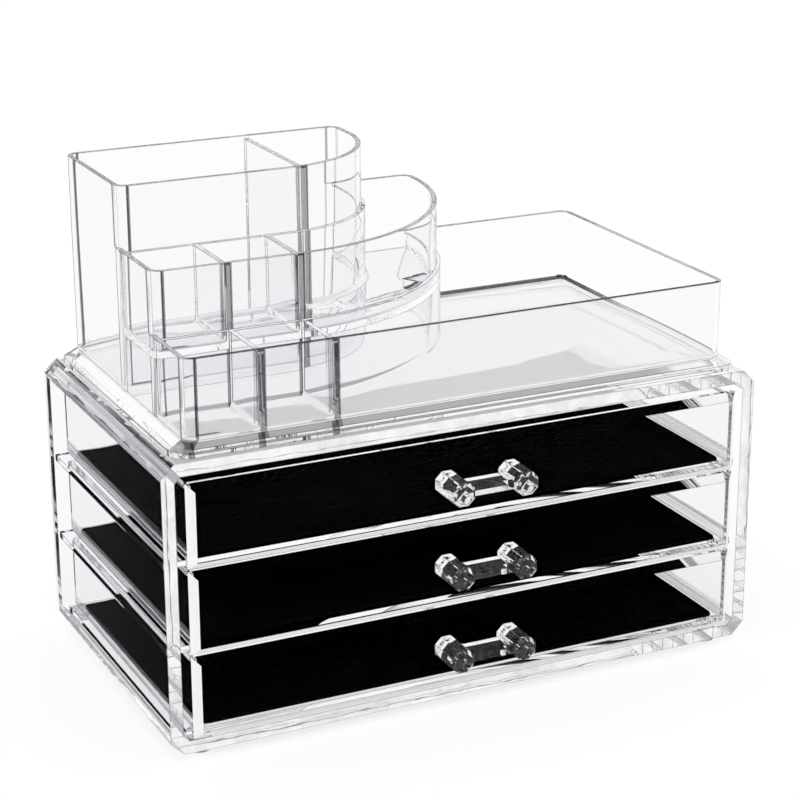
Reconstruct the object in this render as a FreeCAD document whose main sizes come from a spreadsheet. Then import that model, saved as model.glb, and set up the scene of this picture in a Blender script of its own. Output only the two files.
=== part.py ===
"""Clear acrylic make-up organizer: a three-drawer chest with a stepped tray on top.

The frame is X to the right, -Y to the front and +Z up.  The origin is at the middle of
the bounding box, on the surface that the four feet stand on.  Sizes are millimetres.
"""

import FreeCAD, Part
import os
import Sketcher

doc = FreeCAD.newDocument("makeup_organizer")

# ---------------------------------------------------------------- driving sizes
SIZES = [
    # chest: an extruded sleeve, a back panel and four feet
    ("case_width", 240.0),
    ("case_depth", 132.0),
    ("case_height", 110.0),
    ("case_wall", 5.0),
    ("case_bevel", 5.1),
    ("case_inner_bevel", 2.3),
    ("back_thick", 4.0),
    ("back_round", 1.2),
    ("foot_radius", 4.5),
    ("foot_height", 2.5),
    ("foot_bevel", 0.4),
    ("foot_side_inset", 13.5),
    ("foot_end_inset", 7.5),
    # runner strips glued to the side walls, one pair under each drawer
    ("runner_width", 8.5),
    ("runner_thick", 2.4),
    ("runner_round", 3.0),
    ("runner_front_gap", 3.0),
    ("runner_back_gap", 2.0),
    ("slide_gap", 0.1),
    # drawers: a bevelled front plate moulded on an open tray
    ("plate_side_gap", 3.6),
    ("plate_top_gap", 2.7),
    ("plate_gap", 0.7),
    ("plate_bevel", 2.8),
    ("plate_land", 1.5),
    ("tray_lift", 2.0),
    ("tray_wall", 2.4),
    ("tray_floor", 1.7),
    ("tray_drop", 2.0),
    ("tray_back_gap", 3.0),
    ("tray_corner", 4.0),
    ("tray_under_round", 2.6),
    # mesh pads that lie loose in the drawers
    ("pad_thick", 1.4),
    ("pad_side_gap", 2.2),
    ("pad_front_gap", 2.0),
    ("pad_back_gap", 3.4),
    ("pad_corner", 1.2),
    ("pad_lift", 0.1),
    # crystal handles: two octagonal posts and a flat bar
    ("handle_reach", 15.2),
    ("handle_rise", 0.8),
    ("post_flats", 9.0),
    ("post_spacing", 25.6),
    ("post_bevel", 1.3),
    ("bar_height", 4.0),
    ("bar_setback", 3.0),
    ("bar_depth", 7.9),
    ("bar_flare", 2.4),
    ("spigot_radius", 2.0),
    ("spigot_gap", 0.1),
    # moulded organizer: base plate, low tray, middle tier and tall box
    ("base_side_inset", 6.0),
    ("base_end_inset", 2.3),
    ("base_corner", 7.0),
    ("base_edge", 2.2),
    ("base_height", 5.3),
    ("base_floor", 2.5),
    ("base_rim", 6.0),
    ("wall_side_inset", 11.4),
    ("wall_end_inset", 5.0),
    ("wall", 1.8),
    ("wall_corner", 5.0),
    ("tray_rim", 34.7),
    ("middle_rim", 58.0),
    ("tall_rim", 81.0),
    ("middle_front", 34.6),
    ("middle_straight", 5.4),
    ("crescent_width", 86.7),
    ("middle_floor", 28.2),
    ("middle_floor_thick", 2.0),
    ("tall_front", 67.8),
    ("tall_straight", 14.2),
    ("tall_split", 16.2),
    ("tall_cell", 38.5),
    ("slot_pitch", 28.0),
    ("divider", 2.0),
    ("divider_drop", 1.2),
    ("step_out", 1.5),
    ("step_drop", 1.2),
    ("floor_round", 1.8),
]

sheet = doc.addObject("Spreadsheet::Sheet", "size")
for row, (alias, number) in enumerate(SIZES, start=1):
    sheet.set(f"A{row}", alias)
    sheet.set(f"B{row}", str(number))
    sheet.setAlias(f"B{row}", alias)
doc.recompute()


class Size:
    """A length that carries its number and the sheet expression it comes from."""

    def __init__(self, number, text):
        self.number = float(number)
        self.text = text

    @staticmethod
    def of(other):
        return other if isinstance(other, Size) else Size(other, repr(float(other)))

    def __add__(self, other):
        other = Size.of(other)
        return Size(self.number + other.number, f"({self.text} + {other.text})")

    def __radd__(self, other):
        return Size.of(other) + self

    def __sub__(self, other):
        other = Size.of(other)
        return Size(self.number - other.number, f"({self.text} - {other.text})")

    def __rsub__(self, other):
        return Size.of(other) - self

    def __mul__(self, other):
        other = Size.of(other)
        return Size(self.number * other.number, f"({self.text} * {other.text})")

    def __rmul__(self, other):
        return Size.of(other) * self

    def __truediv__(self, other):
        other = Size.of(other)
        return Size(self.number / other.number, f"({self.text} / {other.text})")

    def __neg__(self):
        return 0 - self


class Sizes:
    """Reads the driving sizes by name: size.case_width and so on."""

    def __getattr__(self, alias):
        return Size(sheet.get(alias), f"size.{alias}")


size = Sizes()
ZERO = Size.of(0)

# ---------------------------------------------------------------- derived places
half_case = size.case_width / 2
plate_thick = size.plate_bevel + size.plate_land
front = (size.plate_bevel + size.handle_reach - size.case_depth) / 2
case_base = size.foot_height
case_top = case_base + size.case_height
sleeve_depth = size.case_depth - size.back_thick
plate_width = size.case_width - (size.case_wall + size.plate_side_gap) * 2
tray_back = sleeve_depth - size.tray_back_gap
runner_front = size.plate_land + size.runner_front_gap

# the drawers share the height between the lowest runners and the gap under the top
DRAWERS = 3
plate_lift = size.runner_thick + size.slide_gap - size.tray_lift
stack_height = size.case_height - size.case_wall * 2 - plate_lift - size.plate_top_gap
drawer_pitch = (stack_height + size.plate_gap) / DRAWERS
plate_height = drawer_pitch - size.plate_gap
tray_height = plate_height - size.tray_lift - size.tray_drop


def plate_bottom(level):
    """Height of a drawer front's lower edge; level 0 is the lowest drawer."""
    return case_base + size.case_wall + plate_lift + drawer_pitch * level


def runner_top(level):
    return plate_bottom(level) + size.tray_lift - size.slide_gap


# ---------------------------------------------------------------- modelling helpers
PLANES = {"XY": "XY_Plane", "XZ": "XZ_Plane", "YZ": "YZ_Plane"}


def bind(feature, prop, length):
    feature.setExpression(prop, length.text)


def new_body(label):
    body = doc.addObject("PartDesign::Body", label)
    body.Label = label
    return body


def place(body, x=ZERO, y=ZERO, z=ZERO):
    bind(body, "Placement.Base.x", x)
    bind(body, "Placement.Base.y", y)
    bind(body, "Placement.Base.z", z)


def new_sketch(body, name, plane="XY", offset=ZERO):
    """A sketch on one of the body's origin planes, moved along that plane's normal."""
    sketch = body.newObject("Sketcher::SketchObject", name)
    role = PLANES[plane]
    origin = [f for f in body.Origin.OriginFeatures if f.Role == role][0]
    sketch.AttachmentSupport = [(origin, "")]
    sketch.MapMode = "FlatFace"
    bind(sketch, "AttachmentOffset.Base.z", offset)
    return sketch


def pin(sketch, kind, item, point, length):
    """Hold one point of a sketch at a bound distance from the sketch's axes."""
    index = sketch.addConstraint(
        Sketcher.Constraint(kind, -1, 1, item, point, length.number)
    )
    sketch.setExpression(f"Constraints[{index}]", length.text)


def outline(sketch, corners):
    """A closed outline of level and upright lines.

    Each corner is (x, y, radius); a radius of None leaves it sharp.  The first line
    is level, and the corners run anticlockwise.
    """
    count = len(corners)
    vector = FreeCAD.Vector
    starts, ends, arcs = [], [], []
    for i, (x, y, radius) in enumerate(corners):
        before = corners[i - 1]
        after = corners[(i + 1) % count]
        r = 0.0 if radius is None else radius.number
        here = vector(x.number, y.number, 0)
        back = (vector(before[0].number, before[1].number, 0) - here).normalize()
        ahead = (vector(after[0].number, after[1].number, 0) - here).normalize()
        starts.append(here + ahead * r)
        ends.append(here + back * r)
        arcs.append((here, back, ahead, r))
    lines = []
    for i in range(count):
        line = Part.LineSegment(starts[i], ends[(i + 1) % count])
        lines.append(sketch.addGeometry(line, False))
    for i, line in enumerate(lines):
        x, y, radius = corners[i]
        if i % 2 == 0:
            sketch.addConstraint(Sketcher.Constraint("Horizontal", line))
            pin(sketch, "DistanceY", line, 1, y)
        else:
            sketch.addConstraint(Sketcher.Constraint("Vertical", line))
            pin(sketch, "DistanceX", line, 1, x)
    for i, (x, y, radius) in enumerate(corners):
        incoming, outgoing = lines[i - 1], lines[i]
        if radius is None:
            join = Sketcher.Constraint("Coincident", incoming, 2, outgoing, 1)
            sketch.addConstraint(join)
            continue
        here, back, ahead, r = arcs[i]
        centre = here + back * r + ahead * r
        middle = centre + (here - centre).normalize() * r
        arc = Part.Arc(ends[i], middle, starts[i])
        item = sketch.addGeometry(arc, False)
        turn = back.cross(ahead).z
        first, last = (1, 2) if turn < 0 else (2, 1)
        sketch.addConstraint(Sketcher.Constraint("Tangent", incoming, 2, item, first))
        sketch.addConstraint(Sketcher.Constraint("Tangent", item, last, outgoing, 1))
        index = sketch.addConstraint(Sketcher.Constraint("Radius", item, r))
        sketch.setExpression(f"Constraints[{index}]", radius.text)


def rectangle(sketch, left, right, low, high, radii=None):
    """A rectangle; radii are for its low-left, low-right, high-right, high-left."""
    radii = radii or (None, None, None, None)
    corners = [
        (left, low, radii[0]),
        (right, low, radii[1]),
        (right, high, radii[2]),
        (left, high, radii[3]),
    ]
    outline(sketch, corners)


def polygon(sketch, points):
    """A closed outline of straight lines, each corner pinned to its place."""
    vectors = [FreeCAD.Vector(x.number, y.number, 0) for x, y in points]
    items = []
    for i, (x, y) in enumerate(points):
        line = Part.LineSegment(vectors[i], vectors[(i + 1) % len(points)])
        items.append(sketch.addGeometry(line, False))
        pin(sketch, "DistanceX", items[i], 1, x)
        pin(sketch, "DistanceY", items[i], 1, y)
    for i, item in enumerate(items):
        after = items[(i + 1) % len(items)]
        sketch.addConstraint(Sketcher.Constraint("Coincident", item, 2, after, 1))


def bevelled_loop(sketch, half_width, low, high, bevel):
    """A rectangle about the Y axis of the sketch with its four corners cut at 45."""
    x0, x1 = -half_width, half_width
    points = [
        (x0 + bevel, low),
        (x1 - bevel, low),
        (x1, low + bevel),
        (x1, high - bevel),
        (x1 - bevel, high),
        (x0 + bevel, high),
        (x0, high - bevel),
        (x0, low + bevel),
    ]
    polygon(sketch, points)


def octagon(sketch, centre, half_flats):
    """A regular octagon about (centre, 0) with its flats level and upright."""
    side = half_flats * (2 ** 0.5 - 1)
    points = [
        (centre + side, half_flats),
        (centre - side, half_flats),
        (centre - half_flats, side),
        (centre - half_flats, -side),
        (centre - side, -half_flats),
        (centre + side, -half_flats),
        (centre + half_flats, -side),
        (centre + half_flats, side),
    ]
    polygon(sketch, points)


def circle(sketch, x, y, radius):
    centre = FreeCAD.Vector(x.number, y.number, 0)
    shape = Part.Circle(centre, FreeCAD.Vector(0, 0, 1), radius.number)
    item = sketch.addGeometry(shape, False)
    pin(sketch, "DistanceX", item, 3, x)
    pin(sketch, "DistanceY", item, 3, y)
    index = sketch.addConstraint(Sketcher.Constraint("Radius", item, radius.number))
    sketch.setExpression(f"Constraints[{index}]", radius.text)


def pad(body, name, sketch, length, reverse=False):
    feature = body.newObject("PartDesign::Pad", name)
    feature.Profile = sketch
    feature.Reversed = reverse
    bind(feature, "Length", length)
    doc.recompute()
    return feature


def pocket(body, name, sketch, depth, reverse=False):
    """Cut a sketch into the body, and stop if nothing was taken away."""
    before = body.Shape.Volume
    feature = body.newObject("PartDesign::Pocket", name)
    feature.Profile = sketch
    feature.Reversed = reverse
    bind(feature, "Length", depth)
    doc.recompute()
    if body.Shape.Volume > before - 1e-3:
        raise RuntimeError(f"{body.Label}: {name} cuts nothing")
    return feature


def edges_where(feature, test):
    """Names of the edges of a feature whose end points all pass a test."""
    names = []
    for number, edge in enumerate(feature.Shape.Edges, start=1):
        points = [vertex.Point for vertex in edge.Vertexes]
        if edge.Length > 1e-6 and points and test(edge, points):
            names.append(f"Edge{number}")
    return names


def dress(body, kind, name, base, edges, length):
    """A Fillet or Chamfer on chosen edges of the feature before it."""
    if not edges:
        raise RuntimeError(f"{body.Label}: no edges for {name}")
    feature = body.newObject(f"PartDesign::{kind}", name)
    feature.Base = (base, edges)
    bind(feature, "Radius" if kind == "Fillet" else "Size", length)
    doc.recompute()
    return feature


def near(a, b):
    return abs(a - b) < 1e-4


# ---------------------------------------------------------------- chest
def make_sleeve():
    """The sleeve: four walls with bevelled long edges, open at both ends."""
    body = new_body("case_sleeve")
    sketch = new_sketch(body, "sleeve_section", "XZ")
    bevelled_loop(sketch, half_case, ZERO, size.case_height, size.case_bevel)
    bevelled_loop(
        sketch,
        half_case - size.case_wall,
        size.case_wall,
        size.case_height - size.case_wall,
        size.case_inner_bevel,
    )
    pad(body, "sleeve", sketch, sleeve_depth, reverse=True)
    place(body, y=front, z=case_base)


def make_back():
    """The panel that closes the back, glued over the sleeve's end."""
    body = new_body("back_panel")
    sketch = new_sketch(body, "panel_section", "XZ")
    bevelled_loop(sketch, half_case, ZERO, size.case_height, size.case_bevel)
    panel = pad(body, "panel", sketch, size.back_thick, reverse=True)
    thick = size.back_thick.number
    rim = edges_where(panel, lambda e, pts: all(near(p.y, thick) for p in pts))
    dress(body, "Fillet", "panel_round", panel, rim, size.back_round)
    place(body, y=front + sleeve_depth, z=case_base)


def make_runner(side, name, level):
    """A strip with rounded corners along one wall; side is -1 left, +1 right.

    The lowest pair lies on the sleeve's floor, beside the bevel of its inner corner.
    """
    body = new_body(f"runner_{name}_{level + 1}")
    inset = size.case_wall
    if level == 0:
        inset = inset + size.case_inner_bevel
    length = sleeve_depth - runner_front - size.runner_back_gap
    sketch = new_sketch(body, "strip_outline", "XY")
    free, glued = size.runner_round, None
    if side < 0:
        radii = (glued, free, free, glued)
        rectangle(sketch, ZERO, size.runner_width, ZERO, length, radii)
        x = inset - half_case
    else:
        radii = (free, glued, glued, free)
        rectangle(sketch, -size.runner_width, ZERO, ZERO, length, radii)
        x = half_case - inset
    pad(body, "strip", sketch, size.runner_thick)
    z = runner_top(level) - size.runner_thick
    place(body, x=x, y=front + runner_front, z=z)


def make_foot(name, x, y):
    """A clear bumper with its lower edge broken, stuck under a corner of the chest."""
    body = new_body(f"foot_{name}")
    sketch = new_sketch(body, "foot_outline", "XY")
    circle(sketch, ZERO, ZERO, size.foot_radius)
    disc = pad(body, "disc", sketch, size.foot_height)
    rim = edges_where(disc, lambda e, pts: all(near(p.z, 0) for p in pts))
    dress(body, "Chamfer", "broken_edge", disc, rim, size.foot_bevel)
    place(body, x=x, y=y)


# ---------------------------------------------------------------- drawers
def make_drawer(name, level):
    """Front plate and tray in one moulding, with two holes for the handle."""
    body = new_body(f"drawer_{name}")
    half_plate = plate_width / 2
    sketch = new_sketch(body, "plate_outline", "XZ", size.plate_bevel)
    rectangle(sketch, -half_plate, half_plate, ZERO, plate_height)
    plate = pad(body, "plate", sketch, plate_thick, reverse=True)
    face_y = -size.plate_bevel.number
    rim = edges_where(plate, lambda e, pts: all(near(p.y, face_y) for p in pts))
    dress(body, "Chamfer", "plate_edges", plate, rim, size.plate_bevel)

    corner = size.tray_corner
    sketch = new_sketch(body, "tray_outline", "XY", size.tray_lift)
    rectangle(
        sketch, -half_plate, half_plate, ZERO, tray_back, (None, None, corner, corner)
    )
    tray = pad(body, "tray_block", sketch, tray_height)
    low = size.tray_lift.number
    land = size.plate_land.number

    def under_edge(edge, points):
        behind = all(p.y > land - 1e-4 for p in points)
        return behind and all(near(p.z, low) for p in points) and edge_is_outer(edge)

    def edge_is_outer(edge):
        middle = edge.valueAt((edge.FirstParameter + edge.LastParameter) / 2)
        return middle.y > land + 1e-3

    dress(
        body,
        "Fillet",
        "tray_under_edges",
        tray,
        edges_where(tray, under_edge),
        size.tray_under_round,
    )
    inside = half_plate - size.tray_wall
    inner = corner - size.tray_wall
    top = size.tray_lift + tray_height
    sketch = new_sketch(body, "tray_hollow", "XY", top)
    rectangle(
        sketch,
        -inside,
        inside,
        size.plate_land,
        tray_back - size.tray_wall,
        (None, None, inner, inner),
    )
    pocket(body, "hollow", sketch, tray_height - size.tray_floor)

    sketch = new_sketch(body, "handle_holes", "XZ", size.plate_bevel)
    height = plate_height / 2 + size.handle_rise
    for x in (-size.post_spacing / 2, size.post_spacing / 2):
        circle(sketch, x, height, size.spigot_radius + size.spigot_gap)
    pocket(body, "spigot_holes", sketch, plate_thick)
    place(body, y=front, z=plate_bottom(level))


def make_pad(name, level):
    """A mesh liner that lies on the drawer's floor, clear of its walls."""
    body = new_body(f"pad_{name}")
    half_pad = plate_width / 2 - size.tray_wall - size.pad_side_gap
    low = size.plate_land + size.pad_front_gap
    high = tray_back - size.tray_wall - size.pad_back_gap
    sketch = new_sketch(body, "pad_outline", "XY")
    bevelled_loop(sketch, half_pad, low, high, size.pad_corner)
    pad(body, "liner", sketch, size.pad_thick)
    floor = plate_bottom(level) + size.tray_lift + size.tray_floor
    place(body, y=front, z=floor + size.pad_lift)


def make_handle(name, level):
    """Two octagonal posts with bevelled ends, a flat bar and two spigots."""
    body = new_body(f"handle_{name}")
    half_flats = size.post_flats / 2
    half_gap = size.post_spacing / 2
    sketch = new_sketch(body, "post_outlines", "XZ")
    for centre in (-half_gap, half_gap):
        octagon(sketch, centre, half_flats)
    posts = pad(body, "posts", sketch, size.handle_reach)
    end = -size.handle_reach.number
    rim = edges_where(posts, lambda e, pts: all(near(p.y, end) for p in pts))
    dress(body, "Chamfer", "post_ends", posts, rim, size.post_bevel)

    sketch = new_sketch(body, "bar_outline", "XY", -size.bar_height / 2)
    bar_front = size.bar_setback - size.handle_reach
    half_bar = half_gap - size.post_flats / 4
    rectangle(sketch, -half_bar, half_bar, bar_front, bar_front + size.bar_depth)
    bar = pad(body, "bar", sketch, size.bar_height)
    half_height = size.bar_height.number / 2
    reach = (half_gap - half_flats + size.bar_height / 2).number

    def at_post(edge, points):
        """The four edges where the bar's top and underside meet a post."""
        level = all(near(abs(p.z), half_height) and abs(p.x) < reach for p in points)
        return level and near(points[0].x, points[-1].x)

    dress(body, "Fillet", "bar_flares", bar, edges_where(bar, at_post), size.bar_flare)

    sketch = new_sketch(body, "spigot_outlines", "XZ")
    for centre in (-half_gap, half_gap):
        circle(sketch, centre, ZERO, size.spigot_radius)
    pad(body, "spigots", sketch, plate_thick, reverse=True)
    height = plate_bottom(level) + plate_height / 2 + size.handle_rise
    place(body, y=front - size.plate_bevel, z=height)


# ---------------------------------------------------------------- organizer
wall_left = size.wall_side_inset - half_case
wall_right = -wall_left
wall_front = size.wall_end_inset
wall_back = size.case_depth - size.wall_end_inset
slot_split = [wall_left + size.wall / 2 + size.slot_pitch * n for n in (1, 2)]
middle_right = slot_split[-1] + size.crescent_width
middle_sweep = wall_back - size.middle_front - size.middle_straight
tall_split = slot_split[-1] + size.tall_split
tall_right = tall_split + size.tall_cell
tall_sweep = wall_back - size.tall_front - size.tall_straight


def tier(sketch, right, low, sweep, inset=ZERO):
    """Outline of the middle tier or the tall box; its front right corner is a sweep."""
    small = size.wall_corner - inset
    rectangle(
        sketch,
        wall_left + inset,
        right - inset,
        low + inset,
        wall_back - inset,
        (small, sweep - inset, small, small),
    )


def tier_step(sketch, right, low, sweep):
    """The same outline one step further out, square where it joins the outer walls."""
    rectangle(
        sketch,
        wall_left,
        right + size.step_out,
        low - size.step_out,
        wall_back,
        (None, sweep + size.step_out, None, size.wall_corner),
    )


def dividers(body, name, places, low, high, y0, y1):
    """Upright partitions across a tier, each centred on its place."""
    sketch = new_sketch(body, f"{name}_outline", "XY", low)
    half = size.divider / 2
    for x in places:
        rectangle(sketch, x - half, x + half, y0, y1)
    pad(body, name, sketch, high - low)


def raise_tier(body, name, curve, lower_rim, rim, floor):
    """A hollow tier with a step round its outside where the tier below has its rim."""
    sketch = new_sketch(body, f"{name}_step_outline", "XY", size.base_height)
    tier_step(sketch, *curve)
    step_height = lower_rim - size.step_drop - size.base_height
    pad(body, f"{name}_step", sketch, step_height)
    sketch = new_sketch(body, f"{name}_outline", "XY", size.base_height)
    tier(sketch, *curve)
    pad(body, f"{name}_block", sketch, rim - size.base_height)
    sketch = new_sketch(body, f"{name}_hollow", "XY", rim)
    tier(sketch, *curve, inset=size.wall)
    pocket(body, f"{name}_cut", sketch, rim - floor)


def make_base(body):
    """The flange that lies on the chest, sloping up to the foot of the walls."""
    left = size.base_side_inset - half_case
    low = size.base_end_inset
    high = size.case_depth - size.base_end_inset
    corners = (size.base_corner,) * 4
    sketch = new_sketch(body, "base_outline", "XY")
    rectangle(sketch, left, -left, low, high, corners)
    pad(body, "base", sketch, size.base_edge)
    low_ring = new_sketch(body, "shoulder_low", "XY", size.base_edge)
    rectangle(low_ring, left, -left, low, high, corners)
    corners = (size.wall_corner,) * 4
    high_ring = new_sketch(body, "shoulder_high", "XY", size.base_height)
    rectangle(high_ring, wall_left, wall_right, wall_front, wall_back, corners)
    shoulder = body.newObject("PartDesign::AdditiveLoft", "shoulder")
    shoulder.Profile = low_ring
    shoulder.Sections = [high_ring]
    shoulder.Ruled = True
    doc.recompute()


def make_low_tray(body):
    """The open tray, with two partitions for lipsticks at its left."""
    corners = (size.wall_corner,) * 4
    sketch = new_sketch(body, "tray_outline", "XY", size.base_height)
    rectangle(sketch, wall_left, wall_right, wall_front, wall_back, corners)
    pad(body, "tray_block", sketch, size.tray_rim - size.base_height)
    corners = (size.wall_corner - size.wall,) * 4
    sketch = new_sketch(body, "tray_hollow", "XY", size.tray_rim)
    rectangle(
        sketch,
        wall_left + size.wall,
        wall_right - size.wall,
        wall_front + size.wall,
        wall_back - size.wall,
        corners,
    )
    pocket(body, "tray_cut", sketch, size.tray_rim - size.base_height)
    dividers(
        body,
        "front_dividers",
        slot_split,
        size.base_height,
        size.tray_rim - size.divider_drop,
        wall_front + size.wall / 2,
        size.middle_front,
    )


def make_middle_tier(body):
    """Two lipstick slots and the crescent, on a raised floor."""
    curve = (middle_right, size.middle_front, middle_sweep)
    raise_tier(
        body, "middle", curve, size.tray_rim, size.middle_rim, size.middle_floor
    )
    dividers(
        body,
        "middle_dividers",
        slot_split,
        size.middle_floor,
        size.middle_rim - size.divider_drop,
        size.middle_front + size.wall / 2,
        size.tall_front,
    )


def make_tall_box(body):
    """The box for brushes and bottles, two cells deep down to the base."""
    curve = (tall_right, size.tall_front, tall_sweep)
    raise_tier(
        body, "tall", curve, size.middle_rim, size.tall_rim, size.base_height
    )
    dividers(
        body,
        "tall_divider",
        [tall_split],
        size.base_height,
        size.tall_rim - size.divider_drop,
        size.tall_front + size.wall / 2,
        wall_back - size.wall / 2,
    )


def open_underside(body):
    """Open below the base floor inside its rim, and below the middle tier's floor."""
    left = size.base_side_inset - half_case + size.base_rim
    low = size.base_end_inset + size.base_rim
    inner = size.wall_corner - size.wall
    sketch = new_sketch(body, "underside_outline", "XY")
    rectangle(sketch, left, -left, low, size.case_depth - low, (inner,) * 4)
    under = size.base_height - size.base_floor
    pocket(body, "underside", sketch, under, reverse=True)
    reach = size.step_out
    front_wall = size.middle_front + size.wall
    right_wall = middle_right - size.wall
    back_wall = wall_back - size.wall
    sketch = new_sketch(body, "middle_underside_outline", "XY")
    corners = [
        (wall_left + size.wall, front_wall, inner),
        (right_wall, front_wall, middle_sweep - size.wall),
        (right_wall, back_wall, inner),
        (tall_right + reach, back_wall, None),
        (tall_right + reach, size.tall_front - reach, tall_sweep + reach),
        (wall_left + size.wall, size.tall_front - reach, None),
    ]
    outline(sketch, corners)
    under = size.middle_floor - size.middle_floor_thick
    pocket(body, "middle_underside", sketch, under, reverse=True)


def round_floors(body):
    """Every compartment's floor meets its walls in a round."""
    levels = (size.base_height.number, size.middle_floor.number)
    reach_x = (wall_right - size.wall).number + 1e-3
    reach_low = (wall_front + size.wall).number - 1e-3
    reach_high = (wall_back - size.wall).number + 1e-3

    def at_floor(edge, points):
        inside = all(abs(p.x) < reach_x and reach_low < p.y < reach_high for p in points)
        return inside and any(all(near(p.z, z) for p in points) for z in levels)

    last = body.Tip
    edges = edges_where(last, at_floor)
    dress(body, "Fillet", "floor_rounds", last, edges, size.floor_round)


def make_organizer():
    """The three-tier organizer, one moulding that stands on the chest."""
    body = new_body("upper_organizer")
    make_base(body)
    make_low_tray(body)
    make_middle_tier(body)
    make_tall_box(body)
    open_underside(body)
    round_floors(body)
    place(body, y=front, z=case_top)


# ---------------------------------------------------------------- build
make_sleeve()
make_back()
LEVELS = {"bottom": 0, "middle": 1, "top": 2}
for level in LEVELS.values():
    make_runner(-1, "left", level)
    make_runner(1, "right", level)
foot_x = half_case - size.foot_side_inset
foot_front = front + size.foot_end_inset
foot_back = front + size.case_depth - size.foot_end_inset
make_foot("front_left", -foot_x, foot_front)
make_foot("front_right", foot_x, foot_front)
make_foot("back_left", -foot_x, foot_back)
make_foot("back_right", foot_x, foot_back)
for drawer, level in LEVELS.items():
    make_drawer(drawer, level)
    make_pad(drawer, level)
    make_handle(drawer, level)
make_organizer()

doc.recompute()
for item in doc.Objects:
    if {"Invalid", "Error"} & set(item.State):
        raise RuntimeError(f"{item.Label}: {item.State}")
bodies = [item for item in doc.Objects if item.TypeId == "PartDesign::Body"]
for body in bodies:
    if body.Shape.isNull() or not body.Shape.isValid():
        raise RuntimeError(f"{body.Label}: bad shape")
    if len(body.Shape.Solids) != 1:
        raise RuntimeError(f"{body.Label}: {len(body.Shape.Solids)} solids")
os.makedirs("parts", exist_ok=True)
for body in bodies:
    body.Shape.exportStep(f"parts/{body.Label}.step")
    print(f"{body.Label:18s} {body.Shape.Volume:12.1f} mm3")
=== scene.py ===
"""The look of a clear acrylic make-up organizer: clear walls, faceted handles and black mesh pads."""
import functools
import math

import bmesh
import bpy
from mathutils import Matrix, Vector


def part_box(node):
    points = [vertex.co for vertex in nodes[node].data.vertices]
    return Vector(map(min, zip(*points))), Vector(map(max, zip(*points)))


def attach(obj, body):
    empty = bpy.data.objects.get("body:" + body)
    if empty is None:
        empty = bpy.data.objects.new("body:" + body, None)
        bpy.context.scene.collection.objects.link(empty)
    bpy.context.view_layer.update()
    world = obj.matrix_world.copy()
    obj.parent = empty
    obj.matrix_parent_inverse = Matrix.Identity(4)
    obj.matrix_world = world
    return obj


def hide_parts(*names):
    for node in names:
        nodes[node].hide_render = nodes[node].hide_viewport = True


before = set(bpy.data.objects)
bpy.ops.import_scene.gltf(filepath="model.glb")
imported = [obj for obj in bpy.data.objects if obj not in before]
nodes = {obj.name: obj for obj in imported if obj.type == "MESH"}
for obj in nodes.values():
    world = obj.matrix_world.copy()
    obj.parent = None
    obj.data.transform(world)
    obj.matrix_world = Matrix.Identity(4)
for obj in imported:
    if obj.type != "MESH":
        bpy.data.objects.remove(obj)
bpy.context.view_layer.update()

MM = 0.001
WHITE = (1, 1, 1, 1)
DRAWERS = ("bottom", "middle", "top")

# ---------------------------------------------------------------- camera
CAMERA_PLACE = Vector((-361.4, -750.6, 387.6)) * MM
CAMERA_AZIMUTH = math.radians(-25.552)
CAMERA_ELEVATION = math.radians(19.012)
CAMERA_ROLL = math.radians(-0.227)
FOCAL_WIDTHS = 2.8812  # focal length over the picture's width


def add_camera():
    data = bpy.data.cameras.new("camera")
    data.sensor_width = 36.0
    data.lens = FOCAL_WIDTHS * data.sensor_width
    data.clip_start = 0.01
    data.clip_end = 50.0
    camera = bpy.data.objects.new("camera", data)
    bpy.context.scene.collection.objects.link(camera)
    sine, cosine = math.sin(CAMERA_ELEVATION), math.cos(CAMERA_ELEVATION)
    back = Vector((math.sin(CAMERA_AZIMUTH) * cosine, -math.cos(CAMERA_AZIMUTH) * cosine, sine))
    right = Vector((0, 0, 1)).cross(back).normalized()
    up = back.cross(right)
    turned_right = right * math.cos(CAMERA_ROLL) + up * math.sin(CAMERA_ROLL)
    turned_up = up * math.cos(CAMERA_ROLL) - right * math.sin(CAMERA_ROLL)
    turn = Matrix((turned_right, turned_up, back)).transposed()
    camera.matrix_world = Matrix.Translation(CAMERA_PLACE) @ turn.to_4x4()
    bpy.context.scene.camera = camera


# ---------------------------------------------------------------- node helpers
def new_material(name):
    material = bpy.data.materials.new(name)
    material.use_nodes = True
    tree = material.node_tree
    tree.nodes.clear()
    return material, tree


def add(tree, kind, **settings):
    """A new node; each setting is one of its properties or the value of an input."""
    node = tree.nodes.new(kind)
    for key, value in settings.items():
        if hasattr(node, key):
            setattr(node, key, value)
        else:
            node.inputs[key].default_value = value
    return node


def join(tree, source, target):
    tree.links.new(source, target)


def calculate(tree, operation, *values):
    """The result of a Math node, whose values are sockets or plain numbers."""
    node = add(tree, "ShaderNodeMath", operation=operation)
    for slot, value in zip(node.inputs, values):
        if isinstance(value, bpy.types.NodeSocket):
            join(tree, value, slot)
        else:
            slot.default_value = value
    return node.outputs[0]


def product(tree, *values):
    return functools.reduce(functools.partial(calculate, tree, "MULTIPLY"), values)


def largest(tree, *values):
    return functools.reduce(functools.partial(calculate, tree, "MAXIMUM"), values)


def absolute(tree, value):
    return calculate(tree, "ABSOLUTE", value)


def within(tree, value, low, high):
    """1 where a value lies between two limits, else 0."""
    above = calculate(tree, "GREATER_THAN", value, low)
    return product(tree, above, calculate(tree, "LESS_THAN", value, high))


def soft_step(tree, value, start, end):
    """0 before start, 1 after end, and a smooth rise between them."""
    ramp = add(tree, "ShaderNodeMapRange", interpolation_type="SMOOTHSTEP",
               **{"From Min": start, "From Max": end})
    join(tree, value, ramp.inputs["Value"])
    return ramp.outputs[0]


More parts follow.
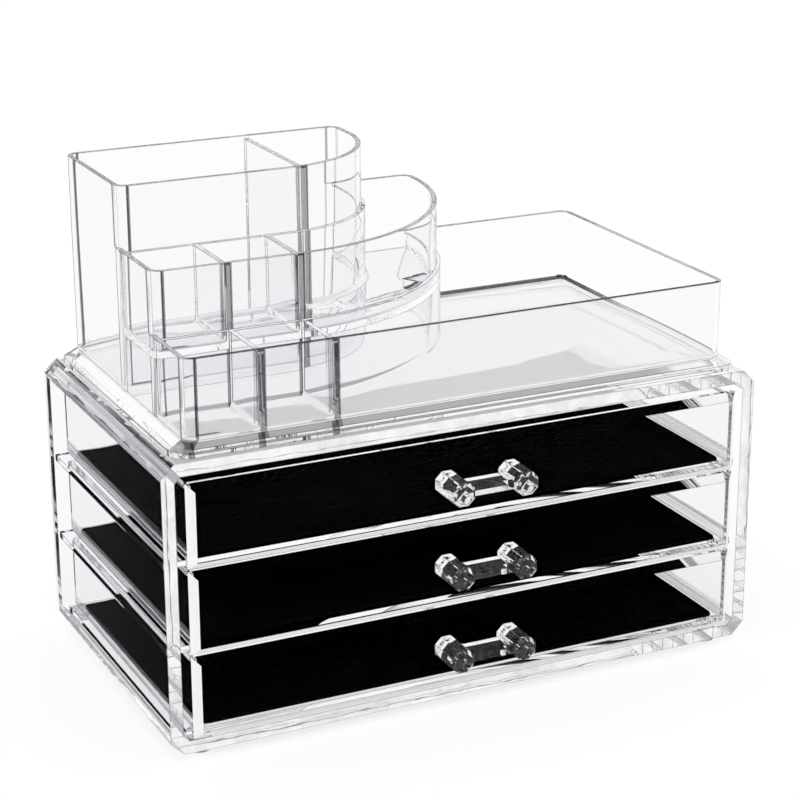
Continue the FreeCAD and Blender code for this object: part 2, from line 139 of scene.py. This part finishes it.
def parts(tree, kind):
    """The three parts of a point's Object place in the row frame at rest, or of its Normal."""
    split = add(tree, "ShaderNodeSeparateXYZ")
    join(tree, add(tree, "ShaderNodeTexCoord").outputs[kind], split.inputs[0])
    return [split.outputs[axis] for axis in "XYZ"]


def noise(tree, scale, detail):
    """Noise that rides with its piece."""
    node = add(tree, "ShaderNodeTexNoise", Scale=scale, Detail=detail)
    join(tree, add(tree, "ShaderNodeTexCoord").outputs["Object"], node.inputs["Vector"])
    return node.outputs["Fac"]


def streaks(tree, stretch, low, high):
    """Noise drawn out by a stretch, as a share from 0 to 1."""
    node = add(tree, "ShaderNodeTexNoise", Scale=1.0, Detail=3.0)
    drawn = add(tree, "ShaderNodeVectorMath", operation="MULTIPLY")
    drawn.inputs[1].default_value = stretch
    join(tree, add(tree, "ShaderNodeTexCoord").outputs["Object"], drawn.inputs[0])
    join(tree, drawn.outputs[0], node.inputs["Vector"])
    return soft_step(tree, node.outputs["Fac"], low, high)


def relief(tree, height, strength, distance, *shaders):
    """A bump on the given shaders."""
    bump = add(tree, "ShaderNodeBump", Strength=strength, Distance=distance)
    join(tree, height, bump.inputs["Height"])
    for shader in shaders:
        join(tree, bump.outputs[0], shader.inputs["Normal"])


def blend(tree, share, first, second):
    """Two shaders, the second by its share."""
    mix = add(tree, "ShaderNodeMixShader")
    for source, slot in zip((share, first, second), mix.inputs):
        join(tree, source, slot)
    return mix.outputs[0]


def surface(tree, shader):
    join(tree, shader, add(tree, "ShaderNodeOutputMaterial", name="out").inputs["Surface"])


# ---------------------------------------------------------------- surroundings
FLOOR_REACH = 6.0
FLOOR_GLOW = 0.77  # what the floor shows of itself, before what light adds to it
FLOOR_SHADE = (0.25, 0.25, 0.25, 1)  # how much the light and the shadow show on it
FLOOR_MATT = (0.8, 0.8, 0.8, 1)  # the floor as it lights the matt surfaces


def add_world():
    """White all round; what falls on matt surfaces is held back a little, so that the lamp shapes them."""
    world = bpy.data.worlds.new("studio")
    bpy.context.scene.world = world
    world.use_nodes = True
    tree = world.node_tree
    tree.nodes.clear()
    white = add(tree, "ShaderNodeBackground", Color=WHITE, Strength=1.0)
    soft = add(tree, "ShaderNodeBackground", Color=WHITE, Strength=0.95)
    matt = add(tree, "ShaderNodeLightPath").outputs["Is Diffuse Ray"]
    both = blend(tree, matt, white.outputs[0], soft.outputs[0])
    join(tree, both, add(tree, "ShaderNodeOutputWorld").inputs["Surface"])


def add_lamp(name, place, aim, width, height, power):
    data = bpy.data.lights.new(name, "AREA")
    data.shape = "RECTANGLE"
    data.size = width
    data.size_y = height
    data.energy = power
    lamp = bpy.data.objects.new(name, data)
    bpy.context.scene.collection.objects.link(lamp)
    lamp.location = place
    lamp.rotation_mode = "QUATERNION"
    lamp.rotation_quaternion = (Vector(place) - Vector(aim)).to_track_quat("Z", "Y")


def add_floor():
    """Pale floor that is as white as the surroundings and keeps a soft shadow."""
    mesh = bpy.data.meshes.new("floor")
    corners = [(x * FLOOR_REACH, y * FLOOR_REACH, 0) for x, y in ((-1, -1), (1, -1), (1, 1), (-1, 1))]
    mesh.from_pydata(corners, [], [(0, 1, 2, 3)])
    floor = bpy.data.objects.new("floor", mesh)
    bpy.context.scene.collection.objects.link(floor)
    material, tree = new_material("floor")
    path = add(tree, "ShaderNodeLightPath").outputs
    seen = largest(tree, path["Is Camera Ray"], path["Is Transmission Ray"], path["Is Glossy Ray"])
    matt = add(tree, "ShaderNodeBsdfDiffuse", Color=FLOOR_MATT)
    shade = add(tree, "ShaderNodeBsdfDiffuse", Color=FLOOR_SHADE)
    glow = add(tree, "ShaderNodeEmission", Color=WHITE, Strength=FLOOR_GLOW)
    both = add(tree, "ShaderNodeAddShader")
    join(tree, shade.outputs[0], both.inputs[0])
    join(tree, glow.outputs[0], both.inputs[1])
    surface(tree, blend(tree, seen, matt.outputs[0], both.outputs[0]))
    mesh.materials.append(material)


# ---------------------------------------------------------------- seams
AIR_GAP = 0.02 * MM  # left between parts that touch, so that light leaves one and enters the next
WELD = 0.001 * MM
CREASE = math.radians(25)  # a sharper edge stays sharp


def seam_group():
    """Geometry nodes: joins the faces of a solid, draws its skin in by a gap and marks its sharp edges."""
    group = bpy.data.node_groups.new("seam", "GeometryNodeTree")
    for way in ("INPUT", "OUTPUT"):
        group.interface.new_socket("Geometry", in_out=way, socket_type="NodeSocketGeometry")
    start = add(group, "NodeGroupInput")
    whole = add(group, "GeometryNodeMergeByDistance", Distance=WELD)
    plain = add(group, "GeometryNodeRemoveAttribute", Name="custom_normal")
    inward = add(group, "ShaderNodeVectorMath", operation="SCALE", Scale=-AIR_GAP)
    drawn = add(group, "GeometryNodeSetPosition")
    angle = add(group, "GeometryNodeInputMeshEdgeAngle")
    sharp = add(group, "FunctionNodeCompare", operation="GREATER_THAN", B=CREASE)
    smooth = add(group, "GeometryNodeSetShadeSmooth", domain="FACE")
    creased = add(group, "GeometryNodeSetShadeSmooth", domain="EDGE")
    creased.inputs["Shade Smooth"].default_value = False
    end = add(group, "NodeGroupOutput")
    join(group, start.outputs[0], whole.inputs["Geometry"])
    join(group, whole.outputs[0], plain.inputs["Geometry"])
    join(group, add(group, "GeometryNodeInputNormal").outputs[0], inward.inputs[0])
    join(group, inward.outputs[0], drawn.inputs["Offset"])
    join(group, plain.outputs[0], drawn.inputs["Geometry"])
    join(group, drawn.outputs[0], smooth.inputs["Geometry"])
    join(group, smooth.outputs[0], creased.inputs["Geometry"])
    join(group, angle.outputs["Unsigned Angle"], sharp.inputs["A"])
    join(group, sharp.outputs[0], creased.inputs["Selection"])
    join(group, creased.outputs[0], end.inputs[0])
    return group


# ---------------------------------------------------------------- clear acrylic
ACRYLIC_IOR = 1.49
MIRROR_POWER = 4.0  # of Fresnel's share, which leaves full mirroring as it is
CLEAR_TINT = (0.982, 0.982, 0.985, 1)  # what one crossing of a surface leaves
SHEET_EDGE_SHADE = (0.30, 0.30, 0.31, 1)  # and the painted shade left at an edge and where a face is seen aslant
# painted shade at the organizer's edges, and below it at the handles' edges
MOULDED_EDGE_SHADE = (0.16, 0.16, 0.17, 1)
CRYSTAL_EDGE_SHADE = (0.32, 0.32, 0.33, 1)
EDGE_WIDE = 0.5 * MM  # how far from a sharp edge its painted shade reaches
CRYSTAL_EDGE_WIDE = 0.3 * MM
EDGE_TURN = (0.998, 0.96)  # cosines between a face and its rounded edge, where the painted shade starts and is full
GRAZING = (0.80, 1.0)  # how far aslant a face is seen where its painted shade starts and is full
GRAZING_SHARE = 0.5
WAVE_DEEP = 0.035 * MM  # faint unevenness of moulded and cast faces
WAVE_SCALE = 45.0
FACING = (0.8, 0.95)  # parts of a normal, for faces that look one way
SLOPING = (0.5, 0.6)  # and for bevels
FROST = (0.97, 0.97, 0.975, 1)
GREY_FROST = (0.70, 0.70, 0.72, 1)
STREAK_FROST = (0.62, 0.62, 0.65, 1)
CRYSTAL_FROST = (0.45, 0.45, 0.47, 1)
# painted shade low on a drawer's sides
SIDE_SHADE_GREY = (0.40, 0.40, 0.43, 1)
BUMPER_FROST = (0.82, 0.83, 0.85, 1)
FAR = 1.0  # past any part of the object

CHEST_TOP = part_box("case_sleeve")[1][2]
FRONT_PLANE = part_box("case_sleeve")[0][1]
TIER_RIMS = [CHEST_TOP + rise * MM for rise in (34.7, 58.0, 81.0)]
FRONT_WALL, MIDDLE_WALL, TALL_WALL = (FRONT_PLANE + depth * MM for depth in (5.0, 34.6, 67.8))
BACK_WALL = FRONT_PLANE + 125.2 * MM  # inner face of the tray, as the next
RIGHT_WALL = 106.8 * MM
CRESCENT_RIGHT = 35.0 * MM
SPLITS = [split * MM for split in (-79.7, -51.7, -35.5)]
PARTITIONS = [
    (SPLITS[0], FRONT_WALL, TIER_RIMS[0]),
    (SPLITS[1], FRONT_WALL, TIER_RIMS[0]),
    (SPLITS[0], MIDDLE_WALL, TIER_RIMS[1]),
    (SPLITS[1], MIDDLE_WALL, TIER_RIMS[1]),
    (SPLITS[2], TALL_WALL, TIER_RIMS[2]),
]  # place across, the wall it starts from, and its top
PARTITION_HALF = 1.3 * MM
PARTITION_REACH = (-2 * MM, 8 * MM)  # of its painted shade streaks, from the wall it starts from
RIM_HALF = 1 * MM
FOOT_RISE = (5.5 * MM, 6.9 * MM)  # above the chest, as the next
FLOOR_RISE = (1 * MM, 4 * MM)
CORNERS_FROM = 100.0 * MM  # from the middle: past it every upright corner is a small one
CORNER_TURN = (0.04, 0.22)  # product of a normal's parts at the ends of a small rounded corner


def edge_shade_share(tree, wide):
    """Where painted shade darkens a clear surface: at its sharp edges, and where it is seen aslant."""
    rounded = add(tree, "ShaderNodeBevel", samples=4, Radius=wide)
    turned = add(tree, "ShaderNodeVectorMath", operation="DOT_PRODUCT")
    join(tree, rounded.outputs[0], turned.inputs[0])
    join(tree, add(tree, "ShaderNodeNewGeometry").outputs["Normal"], turned.inputs[1])
    edge = soft_step(tree, turned.outputs["Value"], *EDGE_TURN)
    slant = add(tree, "ShaderNodeLayerWeight", Blend=0.5).outputs["Facing"]
    return largest(tree, edge, product(tree, soft_step(tree, slant, *GRAZING), GRAZING_SHARE))


def clear_acrylic(name, painted_shade_tint=SHEET_EDGE_SHADE, edge_wide=EDGE_WIDE, uneven=False):
    """Polished acrylic that mirrors little head on, with painted shade on its edges and where it is seen
    aslant.
    """
    material, tree = new_material(name)
    bend = add(tree, "ShaderNodeBsdfRefraction", Roughness=0.0, IOR=ACRYLIC_IOR)
    mirror = add(tree, "ShaderNodeBsdfAnisotropic", Roughness=0.0, Color=WHITE)
    if uneven:
        relief(tree, noise(tree, WAVE_SCALE, 2.0), 1.0, WAVE_DEEP, bend, mirror)
    fresnel = add(tree, "ShaderNodeFresnel", IOR=ACRYLIC_IOR).outputs[0]
    share = calculate(tree, "POWER", fresnel, MIRROR_POWER)
    surface(tree, blend(tree, share, bend.outputs[0], mirror.outputs[0]))
    colour = add(tree, "ShaderNodeMix", data_type="RGBA", name="painted_shade_tint", A=CLEAR_TINT, B=painted_shade_tint)
    join(tree, edge_shade_share(tree, edge_wide), colour.inputs["Factor"])
    join(tree, colour.outputs["Result"], bend.inputs["Color"])
    return material


def add_painted_shade(tree, share):
    """Paint more shade on clear acrylic by a share, where its own share is less."""
    factor = tree.nodes["painted_shade_tint"].inputs["Factor"]
    join(tree, largest(tree, factor.links[0].from_socket, share), factor)


def frost(tree, share, colour):
    """Lay a matt haze over a clear material where the share is above nothing."""
    matt = add(tree, "ShaderNodeBsdfDiffuse", Color=colour)
    out = tree.nodes["out"].inputs["Surface"]
    join(tree, blend(tree, share, out.links[0].from_socket, matt.outputs[0]), out)


def partition_painted_shade(tree, place, normal):
    """Painted shade: dark streaks at the front end of each partition, where light runs along it."""
    x, y, z = place
    strips = [
        product(
            tree,
            within(tree, x, split - PARTITION_HALF, split + PARTITION_HALF),
            within(tree, y, *(start + reach for reach in PARTITION_REACH)),
            within(tree, z, 0, top),
        )
        for split, start, top in PARTITIONS
    ]
    lines = streaks(tree, (60, 420, 14), 0.42, 0.62)
    sides = product(tree, absolute(tree, normal[0]), lines)
    return product(tree, largest(tree, *strips), largest(tree, sides, absolute(tree, normal[1])), 0.75)


def rim_shade(tree, place, level):
    """The tops of the tiers' walls, darkest along the front of the tray."""
    rims = [within(tree, place[2], rim - RIM_HALF, rim + RIM_HALF) for rim in TIER_RIMS]
    front = product(tree, rims[0], within(tree, place[1], -FAR, FRONT_WALL + 2 * MM))
    return product(tree, largest(tree, product(tree, largest(tree, *rims), 0.4), front), level)


def tray_foot_shade(tree, place):
    """Painted shade along the foot of the tray's back wall, and of its right wall towards the back."""
    x, y, z = place
    behind = product(
        tree,
        within(tree, y, BACK_WALL - 2.5 * MM, BACK_WALL + 0.1 * MM),
        within(tree, x, CRESCENT_RIGHT, FAR),
    )
    beside = product(
        tree,
        within(tree, x, RIGHT_WALL - 2.5 * MM, RIGHT_WALL + 0.1 * MM),
        soft_step(tree, y, BACK_WALL - 70 * MM, BACK_WALL - 10 * MM),
    )
    low = within(tree, z, *(CHEST_TOP + rise for rise in FOOT_RISE))
    return product(tree, low, largest(tree, behind, beside))


def corner_shade_lines(tree, place, normal):
    """Painted shade lines where a small rounded corner starts and ends, on the left, but not the wide
    sweeps.
    """
    slant = product(tree, normal[0], normal[1])
    outer = within(tree, absolute(tree, place[0]), CORNERS_FROM, FAR)
    ends = product(tree, absolute(tree, slant), outer)
    turn = within(tree, largest(tree, slant, ends), *CORNER_TURN)
    left = soft_step(tree, place[0], 20 * MM, -20 * MM)
    return product(tree, turn, left, 0.8)


def moulded_acrylic(name):
    """The organizer's acrylic: painted shade darkening its partitions, rims, corners and the foot of its
    tray, and haze on the tray's floor.
    """
    material = clear_acrylic(name, MOULDED_EDGE_SHADE, uneven=True)
    tree = material.node_tree
    place, normal = parts(tree, "Object"), parts(tree, "Normal")
    level = soft_step(tree, normal[2], *FACING)
    # painted shade on the partitions, the rim tops, the tray's foot and the small corners
    add_painted_shade(tree, partition_painted_shade(tree, place, normal))
    add_painted_shade(tree, rim_shade(tree, place, level))
    add_painted_shade(tree, tray_foot_shade(tree, place))
    add_painted_shade(tree, corner_shade_lines(tree, place, normal))
    floor = within(tree, place[2], *(CHEST_TOP + rise for rise in FLOOR_RISE))
    frost(tree, product(tree, floor, level, 0.5), FROST)
    return material


def plate_acrylic(name):
    """A drawer's acrylic: painted light on the bevels at its front's ends and foot, and painted shade in
    grey streaks low on its sides.
    """
    material = clear_acrylic(name)
    tree = material.node_tree
    _, y, z = parts(tree, "Object")
    across, along, up = parts(tree, "Normal")
    side = absolute(tree, across)
    turned = soft_step(tree, largest(tree, side, product(tree, up, -1.0)), *SLOPING)
    forward = soft_step(tree, product(tree, along, -1.0), *SLOPING)
    outer = within(tree, y, -FAR, FRONT_PLANE)
    # painted light: a white matt coat on the bevels at the front's ends and foot, standing in for light
    # piped out through them
    frost(tree, product(tree, turned, forward, outer, 0.95), WHITE)
    # painted shade: grey streaks low on the sides, standing in for the floor seen refracted there
    floors = [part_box(f"pad_{drawer}")[0][2] for drawer in DRAWERS]
    low = largest(tree, *(within(tree, z, floor - 3 * MM, floor + 5 * MM) for floor in floors))
    lines = streaks(tree, (200, 6, 900), 0.35, 0.65)
    frost(tree, product(tree, soft_step(tree, side, 0.7, 0.95), low, lines, 0.45), SIDE_SHADE_GREY)
    return material


def crystal_acrylic(name):
    """The handles' acrylic: cut facets with painted shade on their edges and a faint grey haze."""
    material = clear_acrylic(name, CRYSTAL_EDGE_SHADE, CRYSTAL_EDGE_WIDE)
    tree = material.node_tree
    frost(tree, product(tree, streaks(tree, (400, 400, 400), 0.2, 0.8), 0.10), CRYSTAL_FROST)
    return material


def bumper_clear(name):
    """Soft clear bumpers, a little cloudy."""
    material = clear_acrylic(name)
    tree = material.node_tree
    frost(tree, product(tree, streaks(tree, (300, 300, 300), 0.3, 0.7), 0.6), BUMPER_FROST)
    return material


def sleeve_acrylic(name):
    """The case's acrylic: sawn front edges with a faint mottle, a hazy top and streaked top corners."""
    material = clear_acrylic(name, uneven=True)
    tree = material.node_tree
    z = parts(tree, "Object")[2]
    across, along, up = parts(tree, "Normal")
    rim = soft_step(tree, product(tree, along, -1.0), *FACING)
    frost(tree, product(tree, rim, streaks(tree, (90, 90, 90), 0.40, 0.66), 0.22), GREY_FROST)
    top = product(tree, within(tree, z, CHEST_TOP - 1 * MM, FAR), soft_step(tree, up, *FACING))
    frost(tree, product(tree, top, 0.5), FROST)
    slope = soft_step(tree, absolute(tree, product(tree, across, up)), 0.25, 0.45)
    frost(tree, product(tree, slope, streaks(tree, (700, 7, 700), 0.35, 0.65), 0.7), STREAK_FROST)
    return material


# ---------------------------------------------------------------- mesh cloth
HOLE_ROWS = 2.1 * MM  # between rows of holes
HOLE_EDGE = (0.2, 1.4)  # of three waves' sum, where a hole starts and is full
THREAD_SCALE = 2600.0
WEAR_SCALE = 34.0
CLOTH_DARK = (0.0022, 0.0023, 0.0028, 1)
CLOTH_PALE = (0.0040, 0.0041, 0.0048, 1)
# painted shade in the mesh's holes
HOLE_SHADE = (0.0006, 0.0006, 0.0008, 1)


def mesh_cloth(name):
    """Black mesh cloth: small round holes with painted shade in them, closely set in a honeycomb of dull
    threads.
    """
    material, tree = new_material(name)
    place = add(tree, "ShaderNodeTexCoord").outputs["Object"]
    waves = []
    for turn in (0, 60, 120):
        across = Vector((math.cos(math.radians(turn)), math.sin(math.radians(turn)), 0))
        along = add(tree, "ShaderNodeVectorMath", operation="DOT_PRODUCT")
        along.inputs[1].default_value = across * (2 * math.pi / HOLE_ROWS)
        join(tree, place, along.inputs[0])
        waves.append(calculate(tree, "COSINE", along.outputs["Value"]))
    total = functools.reduce(functools.partial(calculate, tree, "ADD"), waves)
    hole = soft_step(tree, total, *HOLE_EDGE)
    cloth = add(tree, "ShaderNodeMix", data_type="RGBA", A=CLOTH_DARK, B=CLOTH_PALE)
    join(tree, noise(tree, WEAR_SCALE, 3.0), cloth.inputs["Factor"])
    colour = add(tree, "ShaderNodeMix", data_type="RGBA", B=HOLE_SHADE)
    join(tree, hole, colour.inputs["Factor"])
    join(tree, cloth.outputs["Result"], colour.inputs["A"])
    shader = add(tree, "ShaderNodeBsdfPrincipled", Roughness=0.9, **{"Specular IOR Level": 0.0})
    join(tree, colour.outputs["Result"], shader.inputs["Base Color"])
    height = calculate(tree, "MULTIPLY_ADD", hole, -2.0, noise(tree, THREAD_SCALE, 2.0))
    relief(tree, height, 0.35, 0.15 * MM, shader)
    surface(tree, shader.outputs[0])
    return material


# ---------------------------------------------------------------- mesh pads
PAD_EDGE = (0.0, 0.25, 0.7, 1.4, 2.6)  # rings at a pad's edge, in millimetres from its outline
PAD_CELL = 4.0 * MM
PAD_CORNER = 2.4 * MM
PAD_ROLL = 0.7 * MM
RIM_SHARE, ROLL_SHARE, WAVE_SHARE = 0.30, 0.62, 0.07  # of a pad's thickness
WAVE_X, WAVE_Y, WAVE_SKEW = 61, 73, 19  # radians per metre
WAVE_LAG = 90  # radians per metre of height, so that no two pads lie alike


def pad_steps(low, high):
    """Places across a pad: close together at its edges and even between them."""
    edge = [ring * MM for ring in PAD_EDGE]
    count = round((high - low - 2 * edge[-1]) / PAD_CELL)
    cell = (high - low - 2 * edge[-1]) / count
    middle = [low + edge[-1] + cell * n for n in range(1, count)]
    return [low + e for e in edge] + middle + [high - e for e in reversed(edge)]


def pad_point(place, low, high):
    """A grid place moved onto the rounded outline, and the height of the pad's top there."""
    core = Vector((
        min(max(place.x, low.x + PAD_CORNER), high.x - PAD_CORNER),
        min(max(place.y, low.y + PAD_CORNER), high.y - PAD_CORNER),
    ))
    out = place - core
    ring = max(abs(out.x), abs(out.y))
    if ring:
        place = core + out.normalized() * ring
    depth = max(PAD_CORNER - ring, 0)
    roll = 1 - (1 - min(depth / PAD_ROLL, 1)) ** 2
    lag = ((low + high) / 2).z * WAVE_LAG
    wave = math.sin(place.x * WAVE_X + lag) * math.cos(place.y * WAVE_Y + place.x * WAVE_SKEW)
    share = RIM_SHARE + ROLL_SHARE * roll ** 0.5 + WAVE_SHARE * wave * roll
    return place, low.z + (high.z - low.z) * share


def pad_mesh(name, low, high):
    """A closed sheet: a top and an underside of square cells, and a rim between them."""
    shape = bmesh.new()
    xs, ys = pad_steps(low.x, high.x), pad_steps(low.y, high.y)
    points = [[pad_point(Vector((x, y)), low, high) for y in ys] for x in xs]
    upper = [[shape.verts.new((place.x, place.y, top)) for place, top in row] for row in points]
    lower = [[shape.verts.new((place.x, place.y, low.z)) for place, _ in row] for row in points]
    last_x, last_y = len(xs) - 1, len(ys) - 1
    for grid in (upper, lower):
        for i in range(last_x):
            for j in range(last_y):
                ring = (grid[i][j], grid[i + 1][j], grid[i + 1][j + 1], grid[i][j + 1])
                shape.faces.new(ring if grid is upper else reversed(ring))
    rim = [(i, 0) for i in range(last_x)] + [(last_x, j) for j in range(last_y)]
    rim += [(i, last_y) for i in range(last_x, 0, -1)] + [(0, j) for j in range(last_y, 0, -1)]
    for (i, j), (next_i, next_j) in zip(rim, rim[1:] + rim[:1]):
        shape.faces.new((lower[i][j], lower[next_i][next_j], upper[next_i][next_j], upper[i][j]))
    mesh = bpy.data.meshes.new(name)
    shape.to_mesh(mesh)
    shape.free()
    mesh.shade_smooth()
    return mesh


def lay_pad(drawer, cloth):
    """A cut piece of mesh cloth with a soft edge, lying a little unevenly on the drawer's floor."""
    low, high = (Vector(corner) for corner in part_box(f"pad_{drawer}"))
    mesh = pad_mesh(f"mesh_pad_{drawer}", low, high)
    mesh.materials.append(cloth)
    piece = bpy.data.objects.new(f"mesh_pad_{drawer}", mesh)
    bpy.context.scene.collection.objects.link(piece)
    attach(piece, f"drawer_{drawer}")
    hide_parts(f"pad_{drawer}")


# ---------------------------------------------------------------- the scene
BOUNCES = 64  # light crosses many walls

add_camera()
add_world()
add_floor()
add_lamp("key", (-0.6, -0.9, 1.5), (0, 0, 0.1), 1.2, 0.8, 4)
sheet_look = clear_acrylic("sheet_acrylic")
looks = {
    "case_sleeve": sleeve_acrylic("sleeve_acrylic"),
    "drawer": plate_acrylic("drawer_acrylic"),
    "foot": bumper_clear("clear_bumper"),
    "handle": crystal_acrylic("crystal"),
    "upper_organizer": moulded_acrylic("moulded_acrylic"),
}
seams = seam_group()
for name, piece in nodes.items():
    if not name.startswith("pad"):
        look = next((looks[key] for key in looks if name.startswith(key)), sheet_look)
        piece.data.materials.clear()
        piece.data.materials.append(look)
        piece.modifiers.new("seam", "NODES").node_group = seams
cloth_look = mesh_cloth("mesh_pad")
for drawer in DRAWERS:
    lay_pad(drawer, cloth_look)

scene = bpy.context.scene
scene.view_settings.view_transform = "Standard"
scene.cycles.blur_glossy = 0.0  # matt haze is lit through the clear walls
scene.cycles.max_bounces = BOUNCES
scene.cycles.transmission_bounces = BOUNCES
scene.cycles.glossy_bounces = BOUNCES
